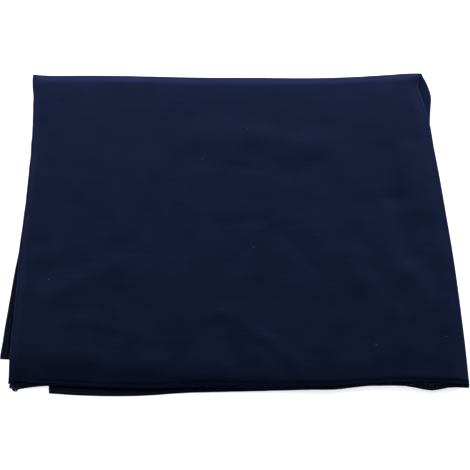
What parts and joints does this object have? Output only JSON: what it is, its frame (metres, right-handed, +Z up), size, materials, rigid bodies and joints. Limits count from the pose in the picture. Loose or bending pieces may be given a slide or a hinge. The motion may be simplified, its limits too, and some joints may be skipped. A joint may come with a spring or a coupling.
{
  "type": "swaddle wrap",
  "caption": "Square jersey swaddle wrap, folded to a smaller square and laid flat, with soft folds at the back and right and hemmed free edges at the front and left.",
  "frame": {"origin": "middle of the underside, on the surface that the wrap lies on", "axes": "+Z up through the leaves, +Y towards the last fold, +X towards the first fold"},
  "size_m": [0.4134, 0.4124, 0.0111],
  "materials": {
    "jersey": "matt cotton knit, navy"
  },
  "bodies": {
    "root": {"swaddle_cloth": "jersey"}
  },
  "joints": []
}
